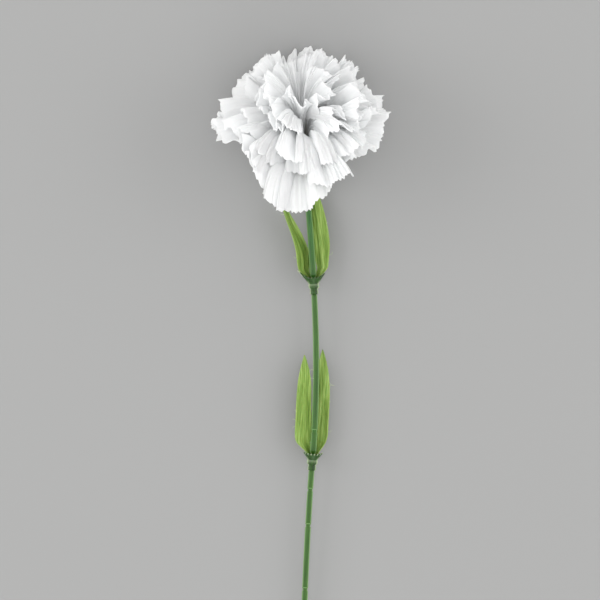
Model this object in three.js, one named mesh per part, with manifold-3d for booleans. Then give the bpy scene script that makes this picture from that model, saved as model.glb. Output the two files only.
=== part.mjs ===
// Artificial carnation stem, lying on a flat surface. Millimetres, +Z up.
//
// The stem runs along Y with the bloom at +Y, and the underside of everything rests on z = 0.
// A white cloth bloom of die-cut, toothed petals sits on a moulded calyx. A plastic stem with a
// steel wire core plugs into the calyx, and two moulded collars on it each hold a pair of cloth leaves.
import * as THREE from "three";
import { mergeVertices } from "three/addons/utils/BufferGeometryUtils.js";
import Module from "manifold-3d";

const wasm = await Module();
wasm.setup();

const RAD = Math.PI / 180;
const GAP = 0.3; // clearance between two pieces that touch on the real thing
const SLIVER = 0.03; // corners that a join leaves closer than this are drawn together

// ---------------------------------------------------------------- driving dimensions

// Where the bloom's hub sits, and how its axis leans: up from the surface, and to the left.
const HUB = new THREE.Vector3(1, 211, 22);
const AXIS_LIFT = 38 * RAD;
const AXIS_LEAN = 5 * RAD;

// Petals: the lobes of each die-cut disc of cloth, innermost first. The discs that lie hidden between their
// neighbours are left out, with 0 lobes.
const LOBES = [3, 0, 6, 0, 7, 7, 7, 7];
const PETAL_LENGTH = [43, 47]; // innermost and outermost
const CLOTH = 0.7;
const ROOT_RADIUS = [3, 4.6]; // where the innermost and outermost cloth leaves the stack
const ROOT_HEIGHT = [3, -2];
const START_ANGLE = [-4, 48]; // degrees off the axis at the root, innermost and outermost
const INNER_END_ANGLE = 4; // the same at the innermost tip
// How far the outermost tips open round the bloom, as [azimuth, degrees off the axis, added length].
// Azimuth -90 is uppermost, 0 to the right, and 90 against the surface.
const OUTER_TIPS = [
  [-136, 55, 4],
  [-102, 150, 3],
  [-66, 111, 1],
  [-30, 103, -2],
  [10, 83, 0],
  [60, 120, -1],
  [92, 50, 3],
  [125, 84, 4],
  [155, 136, -8],
  [182, 85, -1],
];
const FLARE = [20, 12]; // degrees that the tips turn out further, innermost and outermost
const FLARE_MIDDLE = 48; // and how much more on the discs between them
const FLARE_FROM = 0.35; // where the flare starts, as a share of the petal's length
const LOBE_WIDTH = [0.64, 1.02]; // the narrowest and the widest lobe, over the room that it has in its disc
const LOBE_CORNER = 12; // how far a lobe's corners are rounded back
const LOBE_SLANT = 1.4; // discs that a lobe may cross from one of its sides to the other
const RUFFLE = [3.2, 4.2]; // ruffle height at the tip, innermost and outermost
const TIP_SPREAD = 44; // degrees between the least and the most open petal of a disc
const LENGTH_SPREAD = 9; // between the shortest and the longest
const DRAW = 1577; // another number draws other petals
const TOOTH_DEPTH = 1.7;

// The stack of disc centres that the petals grow from, and the pin through it.
const STACK_RADIUS = 5.4;
const STACK_LOW = -4;
const STACK_HIGH = 4;
const PIN_RADIUS = 1;
const PIN_HEAD_RADIUS = 2.4;

// Calyx, hollow at its foot for the top of the stem. Heights are from the hub, along the bloom's axis.
const CALYX_TOP = -4.3;
const CALYX_FOOT = -21.3;
const CALYX_RADIUS = 6.3;
const CALYX_WALL = 0.8;
const CALYX_FOOT_RADIUS = 3.1;
const SEPALS = 5;
const SEPAL_RISE = 3.2;
const SEPAL_FLARE = 1.1;
const SOCKET_DEPTH = 8;
const PIN_DEPTH = 7; // how far the pin goes down into the calyx

// Stem and wire. The line runs from the cut end up to the neck, which bends up into the calyx.
const STEM_TAPER = [1.5, 1.33]; // its radius at the foot and at the top of each stretch between collars
const SEAT_RADIUS = 1.25; // narrower where a collar and a leaf pair are seated
const SEAT_TOP = 4; // how far the seat goes on above a collar's ledge
const BORE_RADIUS = 0.85;
const WIRE_RADIUS = 0.53;
const STEM_SIDES = 10;
const STRAIGHT_STEP = 15; // between rings of vertices on the straight, and round the neck
const NECK_STEP = 2.5;
const STEM_LYING = STEM_TAPER[0] * Math.cos(Math.PI / STEM_SIDES); // its height where a side lies flat
const STEM_LINE = [
  [-7, -260, STEM_LYING],
  [-5.6, -230, STEM_LYING],
  [-4.2, -200, STEM_LYING + 0.12],
  [-1, -130, 2.1],
  [0.8, -60, 4.2],
  [1.9, -5, 6.4],
  [4.5, 46, 8.2],
  [6.4, 72, 8.9],
  [7.3, 98, 9.4],
  [7.2, 120, 9.5],
  [6.1, 147, 8.9],
  [5, 164, 7.8],
  [4, 178, 6.8],
];
const JOINT_RINGS = [74.6, 46, 28.7, -2.5, -70, -135, -200]; // Y of the moulded steps along the stem
const RING_STEP = 0.2; // how far a step stands in and out of the stem

// Collars: a toothed cup on a ringed sleeve. Heights are from the top of the ledge, along the stem.
const COLLAR_Y = [59.8, 145.4];
const SLEEVE_BOTTOM = -4.8;
const SLEEVE_RADIUS = 2.05;
const LEDGE_RADIUS = 2.6;
const LEDGE_BOTTOM = -1.6;
const CUP_FLOOR = 1;
const CUP_RIM = 2.9;
const CUP_RADIUS = 4.1;
const CUP_MOUTH_RADIUS = 3.5;
const CUP_FLOOR_RADIUS = 2.7;
const CUP_SIDES = 32;
const CUP_TOOTH = 0.55;
const CUP_POINT_HALF = 76 * RAD; // a point sweeps down to the rim this far round from its side
// How far the points outside the leaves rise above the rim, to the left and the right of each collar.
const CUP_POINT_RISE = [
  [0.7, 0.9],
  [4.6, 2.4],
];
const CUP_POINT_FLARE = 0.8; // how far a point leans out for each millimetre that it rises

// Leaf pairs. Each blade's middle stands off the stem to its side and lies below it, at mid length and at
// the tip. Turn is the angle between its width and the surface, and wide is the share of its length that it
// takes to reach its full width.
const LEAF_CLOTH = 0.6;
const LEAF_FOOT = CUP_FLOOR + GAP;
const LEAF_HUB_RADIUS = 2.35;
const LEAF_HUB_HEIGHT = 0.8;
const LEAF_ROOT_RADIUS = 2.05;
const LEAF_ROOT_TURN = 50; // degrees that each root sits round from the underside of the stem
const LEAF_ROOT_WIDTH = 3.6;
const LEAF_CURL_RADIUS = 7; // how strongly a blade is cupped towards the stem
const LEAF_CLEAR = 2.25; // the cloth keeps this far from the stem's centre line
const LEAF_PAIRS = [
  {
    name: "lower_leaf_pair",
    blades: [
      { side: -1, length: 50, width: 8.4, wide: 0.2, off: [5.6, 5.6], below: [0.8, -0.6], turn: [8, 6] },
      { side: 1, length: 52.5, width: 8.6, wide: 0.2, off: [2.6, 3.2], below: [3.4, 2.2], turn: [-4, 6] },
    ],
  },
  {
    name: "upper_leaf_pair",
    blades: [
      { side: -1, length: 42, width: 8.4, wide: 0.25, off: [5, 12.4], below: [0.6, -3.5], turn: [36, 62] },
      { side: 1, length: 46, width: 9, wide: 0.42, off: [5.2, 4], below: [1.6, 0.5], turn: [-10, -22] },
    ],
  },
];

// ---------------------------------------------------------------- materials

const white = new THREE.MeshStandardMaterial({ color: 0xf2f3f1, roughness: 0.85 });
const leafGreen = new THREE.MeshStandardMaterial({ color: 0x88ab4c, roughness: 0.9 });
const stemGreen = new THREE.MeshStandardMaterial({ color: 0x4f8a4c, roughness: 0.45 });
const pinWhite = new THREE.MeshStandardMaterial({ color: 0xe6e7e2, roughness: 0.5 });
const steel = new THREE.MeshStandardMaterial({ color: 0x8d8f92, roughness: 0.35, metalness: 1 });

// ---------------------------------------------------------------- helpers

const mix = (a, b, f) => a + (b - a) * f;
const smooth = (f) => {
  const c = Math.min(1, Math.max(0, f));
  return c * c * (3 - 2 * c);
};

// A closed geometry as a solid that can be joined and cut.
function solidOf(geometry) {
  const bare = new THREE.BufferGeometry().setAttribute("position", geometry.getAttribute("position"));
  if (geometry.index) bare.setIndex(geometry.index);
  const merged = mergeVertices(bare, 1e-4);
  return new wasm.Manifold(
    new wasm.Mesh({
      numProp: 3,
      vertProperties: new Float32Array(merged.attributes.position.array),
      triVerts: new Uint32Array(merged.index.array),
    }),
  );
}

function geometryOf(solid) {
  const mesh = solid.getMesh();
  const geometry = new THREE.BufferGeometry();
  geometry.setAttribute("position", new THREE.BufferAttribute(mesh.vertProperties, 3));
  geometry.setIndex(new THREE.BufferAttribute(mesh.triVerts, 1));
  geometry.computeVertexNormals();
  return geometry;
}

// The largest body of a solid, with the hollows that the join sealed filled and loose scraps dropped.
function outerBody(solid) {
  return solid.decompose().reduce((best, body) => (body.volume() > best.volume() ? body : best));
}

// A solid of revolution about +Z from [radius, height] points that run up the outside. A side, not an edge,
// faces +Y and -Y when the number of sides is even.
function turned(profile, sides) {
  const points = profile.map(([r, z]) => new THREE.Vector2(r, z));
  return new THREE.LatheGeometry(points, sides, Math.PI / sides).rotateX(Math.PI / 2);
}

// Moves every vertex of a geometry through place(vertex).
function reshape(geometry, place) {
  const position = geometry.getAttribute("position");
  const v = new THREE.Vector3();
  for (let i = 0; i < position.count; i++) {
    v.fromBufferAttribute(position, i);
    place(v);
    position.setXYZ(i, v.x, v.y, v.z);
  }
  return geometry;
}

// A sheet of cloth from rows of { point, normal }, thickened both ways and closed. Rows may differ in count.
function clothSheet(rows, thickness, settle = (v) => v) {
  const positions = [];
  const faces = [];
  const ids = rows.map((row) =>
    row.map(({ point, normal }) => {
      for (const side of [1, -1]) {
        const v = point.clone().addScaledVector(normal, (side * thickness) / 2);
        positions.push(...settle(v, point, side).toArray());
      }
      return positions.length / 3 - 2;
    }),
  );
  const wall = (a, b) => faces.push(a, b, b + 1, a, b + 1, a + 1);
  for (let r = 0; r + 1 < ids.length; r++) {
    const low = ids[r];
    const high = ids[r + 1];
    let i = 0;
    let j = 0;
    while (i < low.length - 1 || j < high.length - 1) {
      const alongLow = (i + 1) / (low.length - 1);
      const alongHigh = (j + 1) / (high.length - 1);
      const corner = alongLow <= alongHigh + 1e-9 && i < low.length - 1 ? low[i + 1] : high[j + 1];
      faces.push(low[i], corner, high[j], low[i] + 1, high[j] + 1, corner + 1);
      if (corner === low[i + 1] && i < low.length - 1) i++;
      else j++;
    }
    wall(low[0], high[0]);
    wall(high.at(-1), low.at(-1));
  }
  const first = ids[0];
  const last = ids.at(-1);
  for (let i = 0; i + 1 < first.length; i++) wall(first[i + 1], first[i]);
  for (let i = 0; i + 1 < last.length; i++) wall(last[i], last[i + 1]);
  const geometry = new THREE.BufferGeometry();
  geometry.setAttribute("position", new THREE.Float32BufferAttribute(positions, 3));
  geometry.setIndex(faces);
  return geometry;
}

// Rows for clothSheet over a surface at(s, t), with s from root to tip and t from -1 to 1 across.
// The normal points along (across x along).
const STEP = 1e-3;
function rowsOver(at, stations) {
  return stations.map(([s, columns]) =>
    Array.from({ length: columns + 1 }, (_, i) => {
      const t = (2 * i) / columns - 1;
      const across = at(s, t + STEP, i, columns).sub(at(s, t - STEP, i, columns));
      const along = at(s + STEP, t, i, columns).sub(at(s - STEP, t, i, columns));
      return { point: at(s, t, i, columns), normal: across.cross(along).normalize() };
    }),
  );
}

// ---------------------------------------------------------------- bloom

// Bloom frame: z along the bloom's axis, x to the right, and y towards the surface it lies on.
const axis = new THREE.Vector3(
  -Math.sin(AXIS_LEAN) * Math.cos(AXIS_LIFT),
  Math.cos(AXIS_LEAN) * Math.cos(AXIS_LIFT),
  Math.sin(AXIS_LIFT),
);
const right = new THREE.Vector3(Math.cos(AXIS_LEAN), Math.sin(AXIS_LEAN), 0);
const bloomFrame = new THREE.Matrix4()
  .makeBasis(right, axis.clone().cross(right), axis)
  .setPosition(HUB);

// How the cloth eases where it meets the surface: heights under `ease` close in on it and never cross.
const EASE_HEIGHT = 2;
const FLAT_BELOW = 0.9; // undersides lower than this lie on the surface
function easeOnSurface(v) {
  if (v.z < EASE_HEIGHT) v.z = CLOTH / 2 + EASE_HEIGHT * Math.exp((v.z - EASE_HEIGHT) / EASE_HEIGHT);
  return v;
}
function layOnSurface(v, point, side) {
  const isUnder = side * (v.z - point.z) * side < 0;
  if (isUnder && v.z < FLAT_BELOW) v.z = 0;
  if (!isUnder) v.z = Math.max(v.z, CLOTH);
  return v;
}

// The outermost tips' opening and added length at an azimuth, eased from one entry of OUTER_TIPS to the next.
function outerTip(phi) {
  const first = OUTER_TIPS[0][0];
  const degrees = first + ((((phi / RAD - first) % 360) + 360) % 360);
  const ring = [...OUTER_TIPS, [first + 360, OUTER_TIPS[0][1], OUTER_TIPS[0][2]]];
  const next = ring.findIndex(([azimuth]) => azimuth > degrees);
  const [fromAzimuth, ...from] = ring[next - 1];
  const [toAzimuth, ...to] = ring[next];
  const f = smooth((degrees - fromAzimuth) / (toAzimuth - fromAzimuth));
  return from.map((value, k) => mix(value, to[k], f));
}

// A fixed number from 0 to 1 for each petal and use, so that no two petals are alike.
function ownNumber(layer, lobe, use) {
  const wave = Math.sin(12.9898 * layer + 78.233 * lobe + 37.719 * use + DRAW) * 43758.5453;
  return wave - Math.floor(wave);
}

// A point of the cloth at s along the petal, t across it and phi round the bloom. Depth runs from 0 for the
// innermost disc to 1 for the outermost one, and own holds the petal's own numbers.
function petalPoint(depth, s, t, phi, trim, own) {
  const [opening, added] = outerTip(phi);
  const outer = depth * (0.35 + 0.65 * depth);
  const start = mix(...START_ANGLE, depth);
  const end = mix(INNER_END_ANGLE, opening, outer) + TIP_SPREAD * (own[2] - 0.5) * s;
  const flare = (mix(...FLARE, depth) + 4 * FLARE_MIDDLE * depth * (1 - depth)) * (0.4 + 1.2 * own[0]);
  const angleAt = (f) => (start + (end - start) * f + flare * smooth((f - FLARE_FROM) / 0.6) ** 1.5) * RAD;

  // The middle line of the petal, followed in short steps from its root.
  const length = mix(...PETAL_LENGTH, depth) + added * outer - trim + LENGTH_SPREAD * (own[1] - 0.5);
  let r = mix(...ROOT_RADIUS, depth);
  let z = mix(...ROOT_HEIGHT, depth);
  for (let k = 0; k < PETAL_STEPS; k++) {
    const angle = angleAt((s * (k + 0.5)) / PETAL_STEPS);
    r += (length * s * Math.sin(angle)) / PETAL_STEPS;
    z += (length * s * Math.cos(angle)) / PETAL_STEPS;
  }

  // The ruffle pushes the cloth off its layer.
  const angle = angleAt(s);
  const height = mix(...RUFFLE, depth);
  const wide = Math.sin(Math.PI * (1.3 + own[6]) * t + 2 * Math.PI * own[3]);
  const narrow = Math.sin(Math.PI * (3.2 + 1.4 * own[7]) * t + 2 * Math.PI * own[4] + 0.8 * s);
  const push = height * (s ** 1.6 * wide + 0.6 * s ** 2 * narrow);
  const turn = (0.25 * push) / Math.max(r, 5);
  const rr = r + push * Math.cos(angle);
  return new THREE.Vector3(
    rr * Math.cos(phi + turn),
    rr * Math.sin(phi + turn),
    z - push * Math.sin(angle),
  );
}

// Rows of a petal as [share of its length, columns across as a share of those at the tip].
const PETAL_ROWS = [
  [0.06, 1 / 6],
  [0.3, 1 / 6],
  [0.6, 1 / 2],
  [0.86, 1],
  [1, 1],
];
const PETAL_STEPS = 14;
const TIP_COLUMNS = [6, 6, 6, 8, 8, 8, 8, 10]; // every second one ends a tooth

function petal(layer, lobe) {
  const count = LOBES[layer];
  const own = Array.from({ length: 12 }, (_, use) => ownNumber(layer, lobe, use));
  const centre = (2 * Math.PI * (lobe + 0.5 * (layer % 2) + 0.13 * layer + 0.5 * (own[9] - 0.5))) / count;
  const at = (s, t, i, columns) => {
    const depth = (layer + 0.5 + LOBE_SLANT * (own[10] - 0.5) * t) / LOBES.length;
    const spread = (0.5 + 0.5 * smooth(s / 0.6)) * mix(...LOBE_WIDTH, own[11]);
    const phi = centre + (t * spread * Math.PI) / count;
    const corner = LOBE_CORNER * Math.abs(t) ** 2.5;
    const tooth = s > 0.95 && i % 2 ? TOOTH_DEPTH : 0;
    const v = petalPoint(depth, s, t, phi, corner * s + tooth, own);
    return easeOnSurface(v.applyMatrix4(bloomFrame));
  };
  const stations = PETAL_ROWS.map(([s, share]) => [s, Math.max(2, Math.round(share * TIP_COLUMNS[layer]))]);
  return clothSheet(rowsOver(at, stations), CLOTH, layOnSurface);
}

function bloom() {
  const petals = [];
  LOBES.forEach((count, layer) => {
    for (let lobe = 0; lobe < count; lobe++) petals.push(solidOf(petal(layer, lobe)));
  });
  const stack = turned(
    [
      [0, STACK_LOW],
      [STACK_RADIUS, STACK_LOW],
      [STACK_RADIUS, STACK_HIGH],
      [0, STACK_HIGH],
    ],
    16,
  ).applyMatrix4(bloomFrame);
  const pinHole = turned(
    [
      [0, STACK_LOW - 1],
      [PIN_RADIUS + GAP, STACK_LOW - 1],
      [PIN_RADIUS + GAP, STACK_HIGH + 1],
      [0, STACK_HIGH + 1],
    ],
    10,
  ).applyMatrix4(bloomFrame);
  const whole = wasm.Manifold.union([solidOf(stack), ...petals]);
  return geometryOf(outerBody(whole.subtract(solidOf(pinHole)).simplify(SLIVER)));
}

// A pin through the petal discs. Its head sits on the stack and its end in the calyx.
function petalPin() {
  const headBase = STACK_HIGH + GAP;
  const pin = turned(
    [
      [0, CALYX_TOP - PIN_DEPTH],
      [PIN_RADIUS * 0.6, CALYX_TOP - PIN_DEPTH],
      [PIN_RADIUS, CALYX_TOP - PIN_DEPTH + 1],
      [PIN_RADIUS, headBase],
      [PIN_HEAD_RADIUS, headBase],
      [PIN_HEAD_RADIUS, headBase + 0.5],
      [0, headBase + PIN_HEAD_RADIUS / 2],
    ],
    12,
  );
  return pin.applyMatrix4(bloomFrame);
}

// ---------------------------------------------------------------- calyx

// One profile from the end of the stem's socket, down it, up the outside and down the hole for the pin.
function calyx() {
  const recess = STACK_RADIUS + GAP;
  const rim = CALYX_TOP + 0.6;
  const cup = turned(
    [
      [0, CALYX_FOOT + SOCKET_DEPTH],
      [STEM_TAPER[1] + GAP, CALYX_FOOT + SOCKET_DEPTH],
      [STEM_TAPER[1] + GAP, CALYX_FOOT],
      [CALYX_FOOT_RADIUS, CALYX_FOOT],
      [CALYX_FOOT_RADIUS + 0.2, CALYX_FOOT + 2],
      [CALYX_RADIUS - 1.6, CALYX_FOOT + 4.5],
      [CALYX_RADIUS - 0.4, CALYX_FOOT + 8.5],
      [CALYX_RADIUS, CALYX_FOOT + 13],
      [recess + CALYX_WALL, rim],
      [recess, rim],
      [recess, CALYX_TOP],
      [PIN_RADIUS + GAP, CALYX_TOP],
      [PIN_RADIUS + GAP, CALYX_TOP - PIN_DEPTH - GAP],
      [0, CALYX_TOP - PIN_DEPTH - GAP],
    ],
    SEPALS * 6,
  );
  // The rim rises into pointed sepals that lean out under the petals.
  const sepals = reshape(cup, (v) => {
    if (v.z < rim - 0.01) return;
    const place = (((Math.atan2(v.y, v.x) * SEPALS) / (2 * Math.PI) + SEPALS) % 1) * 2 - 1;
    const rise = 1 - Math.abs(place);
    const lean = 1 + (SEPAL_FLARE * rise) / Math.hypot(v.x, v.y);
    v.set(v.x * lean, v.y * lean, v.z + SEPAL_RISE * rise);
  });
  return sepals.applyMatrix4(bloomFrame);
}

// ---------------------------------------------------------------- stem

// The line runs through STEM_LINE, bends up the neck and ends straight inside the calyx.
const onAxis = (height) => axis.clone().multiplyScalar(height).add(HUB);
const stemCurve = new THREE.CatmullRomCurve3(
  [
    ...STEM_LINE.map((place) => new THREE.Vector3(...place)),
    onAxis(CALYX_FOOT - 4),
    onAxis(CALYX_FOOT),
    onAxis(CALYX_FOOT + SOCKET_DEPTH / 2),
    onAxis(CALYX_FOOT + SOCKET_DEPTH - GAP),
  ],
  false,
  "centripetal",
);
stemCurve.arcLengthDivisions = 4000;
const STEM_LENGTH = stemCurve.getLength();

// Lays geometry that was built about +Z along the stem: x to the right, y towards the surface, z along it.
function alongStem(geometry, from = 0) {
  return reshape(geometry, (v) => {
    const at = Math.min(1, Math.max(0, (from + v.z) / STEM_LENGTH));
    const along = stemCurve.getTangentAt(at);
    const across = along.clone().cross(new THREE.Vector3(0, 0, 1)).normalize();
    const down = along.clone().cross(across);
    const { x, y } = v;
    v.copy(stemCurve.getPointAt(at)).addScaledVector(across, x).addScaledVector(down, y);
  });
}

// How far along the stem a given Y is.
function alongAtY(y) {
  let low = 0;
  let high = 1;
  for (let i = 0; i < 40; i++) {
    const middle = (low + high) / 2;
    if (stemCurve.getPointAt(middle).y < y) low = middle;
    else high = middle;
  }
  return low * STEM_LENGTH;
}

const NECK_AT = alongAtY(STEM_LINE.at(-1)[1]);
const BORE_END = STEM_LENGTH - 3;
const COLLARS_AT = COLLAR_Y.map(alongAtY);

// Where the stem has a ring of vertices: far apart on the straight, close together round the neck.
const stemStations = [];
for (let at = 0; at < NECK_AT - STRAIGHT_STEP / 2; at += STRAIGHT_STEP) stemStations.push(at);
for (let at = NECK_AT; at < BORE_END; at += NECK_STEP) stemStations.push(at);

// The stem's radius: it tapers up each stretch between the collars.
function stemRadius(at) {
  const ends = [0, ...COLLARS_AT, STEM_LENGTH - SOCKET_DEPTH];
  const stretch = Math.min(ends.length - 2, ends.filter((end) => end <= at).length - 1);
  return mix(...STEM_TAPER, Math.min(1, (at - ends[stretch]) / (ends[stretch + 1] - ends[stretch])));
}

function stem() {
  const steps = JOINT_RINGS.map(alongAtY).flatMap((at) => [
    [stemRadius(at), at - 1.3],
    [stemRadius(at) - RING_STEP, at - 1.1],
    [stemRadius(at) - RING_STEP, at - 0.1],
    [stemRadius(at) + RING_STEP / 2, at],
    [stemRadius(at) + RING_STEP / 2, at + 0.7],
    [stemRadius(at), at + 0.9],
  ]);
  const seats = COLLARS_AT.flatMap((at) => {
    const foot = at + SLEEVE_BOTTOM - 0.4;
    const top = at + SEAT_TOP;
    return [
      [stemRadius(foot), foot - 0.2],
      [SEAT_RADIUS, foot],
      [SEAT_RADIUS, top],
      [stemRadius(top), top + 0.2],
    ];
  });
  const special = [...steps, ...seats];
  const plain = stemStations
    .filter((at) => at > 0 && special.every(([, place]) => Math.abs(place - at) > 2))
    .filter((at) => COLLARS_AT.every((collar) => at < collar + SLEEVE_BOTTOM || at > collar + SEAT_TOP))
    .map((at) => [stemRadius(at), at]);
  const outside = [...special, ...plain].sort((a, b) => a[1] - b[1]);
  const bore = [...stemStations, BORE_END].reverse().map((at) => [BORE_RADIUS, at]);
  const profile = [
    [0, BORE_END],
    ...bore,
    [stemRadius(0), 0],
    ...outside,
    [stemRadius(STEM_LENGTH), STEM_LENGTH],
    [0, STEM_LENGTH],
  ];
  return alongStem(turned(profile, STEM_SIDES));
}

function wireCore() {
  const end = BORE_END - GAP;
  const side = [...stemStations.filter((at) => at < end - 1), end].map((at) => [WIRE_RADIUS, at]);
  return alongStem(turned([[0, 0], ...side, [0, end]], STEM_SIDES));
}

// ---------------------------------------------------------------- collars

// A closed profile up the outside of the sleeve and the cup, and back down the inside.
function collar(at, [leftRise, rightRise]) {
  const bore = SEAT_RADIUS + GAP;
  const body = turned(
    [
      [bore, SLEEVE_BOTTOM],
      [SLEEVE_RADIUS, SLEEVE_BOTTOM],
      [SLEEVE_RADIUS, SLEEVE_BOTTOM + 1.8],
      [SLEEVE_RADIUS - 0.1, SLEEVE_BOTTOM + 2],
      [SLEEVE_RADIUS - 0.1, LEDGE_BOTTOM - 0.4],
      [LEDGE_RADIUS, LEDGE_BOTTOM],
      [LEDGE_RADIUS, 0],
      [LEDGE_RADIUS - 0.2, 0.2],
      [CUP_RADIUS, CUP_RIM],
      [CUP_MOUTH_RADIUS, CUP_RIM],
      [CUP_FLOOR_RADIUS, CUP_FLOOR + 0.3],
      [bore, CUP_FLOOR],
      [bore, SLEEVE_BOTTOM],
    ],
    CUP_SIDES,
  );
  // The rim has a small tooth at every second vertex and a long point on each side.
  const rimmed = reshape(body, (v) => {
    if (v.z < CUP_RIM - 0.01) return;
    const column = Math.round((Math.atan2(v.y, v.x) * CUP_SIDES) / (2 * Math.PI));
    const fromPoint = Math.abs(Math.atan2(v.y, Math.abs(v.x))) / CUP_POINT_HALF;
    const pointRise = v.x < 0 ? leftRise : rightRise;
    const rise = pointRise * Math.max(0, 1 - fromPoint) ** 2 + (column % 2 ? CUP_TOOTH : 0);
    const lean = 1 + (CUP_POINT_FLARE * rise) / Math.hypot(v.x, v.y);
    v.set(v.x * lean, v.y * lean, v.z + rise);
  });
  return alongStem(rimmed, at);
}

// ---------------------------------------------------------------- leaves

// Rows of a blade as [share of its length, columns across].
const BLADE_ROWS = [
  [0, 4],
  [0.05, 4],
  [0.1, 6],
  [0.16, 6],
  [0.24, 6],
  [0.36, 6],
  [0.5, 6],
  [0.64, 6],
  [0.77, 6],
  [0.88, 4],
  [0.96, 2],
  [1, 2],
];

function blade({ side, length, width, wide, off, below, turn }) {
  const at = (s, t) => {
    const away = smooth(s / 0.16); // how far it has come away from the stem
    const upper = smooth((s - 0.3) / 0.7);
    const widening = mix(LEAF_ROOT_WIDTH / 2, width / 2, smooth((s - 0.03) / wide));
    const half = widening * (1 - Math.max(0, (s - 0.4) / 0.6) ** 2.6) + 0.08;
    const root = -side * LEAF_ROOT_TURN * RAD;
    const x = mix(-LEAF_ROOT_RADIUS * Math.sin(root), side * mix(...off, upper), away);
    const y = mix(LEAF_ROOT_RADIUS * Math.cos(root), mix(...below, upper), away);
    const angle = mix(root, mix(...turn, upper) * RAD, away);
    const curl = mix(1 / LEAF_ROOT_RADIUS, 1 / LEAF_CURL_RADIUS, smooth(s / 0.12));
    const across = Math.sin(curl * half * t) / curl;
    const depth = (1 - Math.cos(curl * half * t)) / curl;
    const v = new THREE.Vector3(
      x + across * Math.cos(angle) + depth * Math.sin(angle),
      y + across * Math.sin(angle) - depth * Math.cos(angle),
      LEAF_FOOT + 0.2 + length * s,
    );
    // Cloth that would cross the stem goes round it.
    const clear = mix(LEAF_ROOT_RADIUS - 0.1, LEAF_CLEAR, smooth(s / 0.1));
    const distance = Math.hypot(v.x, v.y);
    const eased = (distance ** 8 + clear ** 8) ** (1 / 8) / distance;
    return v.set(v.x * eased, v.y * eased, v.z);
  };
  return clothSheet(rowsOver(at, BLADE_ROWS), LEAF_CLOTH);
}

// Two blades on a ring that drops over the stem into the collar's cup.
function leafPair({ blades }, at) {
  const ring = turned(
    [
      [SEAT_RADIUS + GAP, LEAF_FOOT],
      [LEAF_HUB_RADIUS, LEAF_FOOT],
      [LEAF_HUB_RADIUS, LEAF_FOOT + LEAF_HUB_HEIGHT],
      [SEAT_RADIUS + GAP, LEAF_FOOT + LEAF_HUB_HEIGHT],
      [SEAT_RADIUS + GAP, LEAF_FOOT],
    ],
    STEM_SIDES,
  );
  const pieces = [ring, ...blades.map(blade)].map((piece) => solidOf(alongStem(piece, at)));
  return geometryOf(outerBody(wasm.Manifold.union(pieces).simplify(SLIVER)));
}

// ---------------------------------------------------------------- the whole

const named = (name, geometry, material) => Object.assign(new THREE.Mesh(geometry, material), { name });

export default new THREE.Group().add(
  named("bloom", bloom(), white),
  named("petal_pin", petalPin(), pinWhite),
  named("calyx", calyx(), stemGreen),
  named("stem", stem(), stemGreen),
  named("wire_core", wireCore(), steel),
  named("lower_collar", collar(COLLARS_AT[0], CUP_POINT_RISE[0]), stemGreen),
  named("upper_collar", collar(COLLARS_AT[1], CUP_POINT_RISE[1]), stemGreen),
  ...LEAF_PAIRS.map((pair, i) => named(pair.name, leafPair(pair, COLLARS_AT[i]), leafGreen)),
);
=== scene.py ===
import math

import bmesh
import bpy
import numpy as np
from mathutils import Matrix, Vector


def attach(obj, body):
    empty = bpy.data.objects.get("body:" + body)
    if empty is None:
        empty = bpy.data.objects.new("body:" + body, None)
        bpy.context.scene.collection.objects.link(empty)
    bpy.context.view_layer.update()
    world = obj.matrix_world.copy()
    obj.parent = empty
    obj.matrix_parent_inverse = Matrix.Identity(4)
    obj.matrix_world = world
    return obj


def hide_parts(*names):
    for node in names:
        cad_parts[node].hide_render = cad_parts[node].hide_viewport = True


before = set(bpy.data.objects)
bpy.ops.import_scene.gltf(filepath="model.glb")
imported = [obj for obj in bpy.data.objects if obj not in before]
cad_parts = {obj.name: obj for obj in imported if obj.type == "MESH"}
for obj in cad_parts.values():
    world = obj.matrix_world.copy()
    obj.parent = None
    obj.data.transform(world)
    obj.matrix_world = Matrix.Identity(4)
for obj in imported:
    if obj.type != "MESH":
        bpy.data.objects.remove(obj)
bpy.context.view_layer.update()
print("frame loaded:", ", ".join(sorted(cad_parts)))

mm = 0.001  # sizes are in millimetres, except in the studio
fullTurn = 2 * math.pi


# small helpers

def mix(a, b, f):
    return a + (b - a) * f


def smooth(f):
    c = np.clip(f, 0, 1)
    return c * c * (3 - 2 * c)


def unit(v):
    return v / np.linalg.norm(v, axis=-1, keepdims=True)


# Quads over a block of points laid out in rows. Wrapped rows close into a ring.
def gridFaces(rows, columns, first=0, wrapped=False):
    i = first + np.arange(rows * columns).reshape(rows, columns)
    if wrapped:
        i = np.concatenate([i, i[:, :1]], axis=1)
    return np.stack([i[:-1, :-1], i[:-1, 1:], i[1:, 1:], i[1:, :-1]], -1).reshape(-1, 4)


def addToScene(name, data):
    thing = bpy.data.objects.new(name, data)
    bpy.context.scene.collection.objects.link(thing)
    return thing


# An object from points in millimetres. Values for each point become attributes.
def makePiece(name, points, faces, values=None, merged=False):
    mesh = bpy.data.meshes.new(name)
    mesh.from_pydata((np.asarray(points) * mm).tolist(), [], np.asarray(faces).tolist())
    for key, numbers in (values or {}).items():
        isVector = numbers.ndim == 2
        layer = mesh.attributes.new(key, "FLOAT_VECTOR" if isVector else "FLOAT", "POINT")
        layer.data.foreach_set("vector" if isVector else "value", numbers.astype(np.float32).ravel())
    if merged:
        work = bmesh.new()
        work.from_mesh(mesh)
        bmesh.ops.remove_doubles(work, verts=work.verts, dist=1e-6)
        work.to_mesh(mesh)
        work.free()
    mesh.shade_smooth()
    return addToScene(name, mesh)


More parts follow.
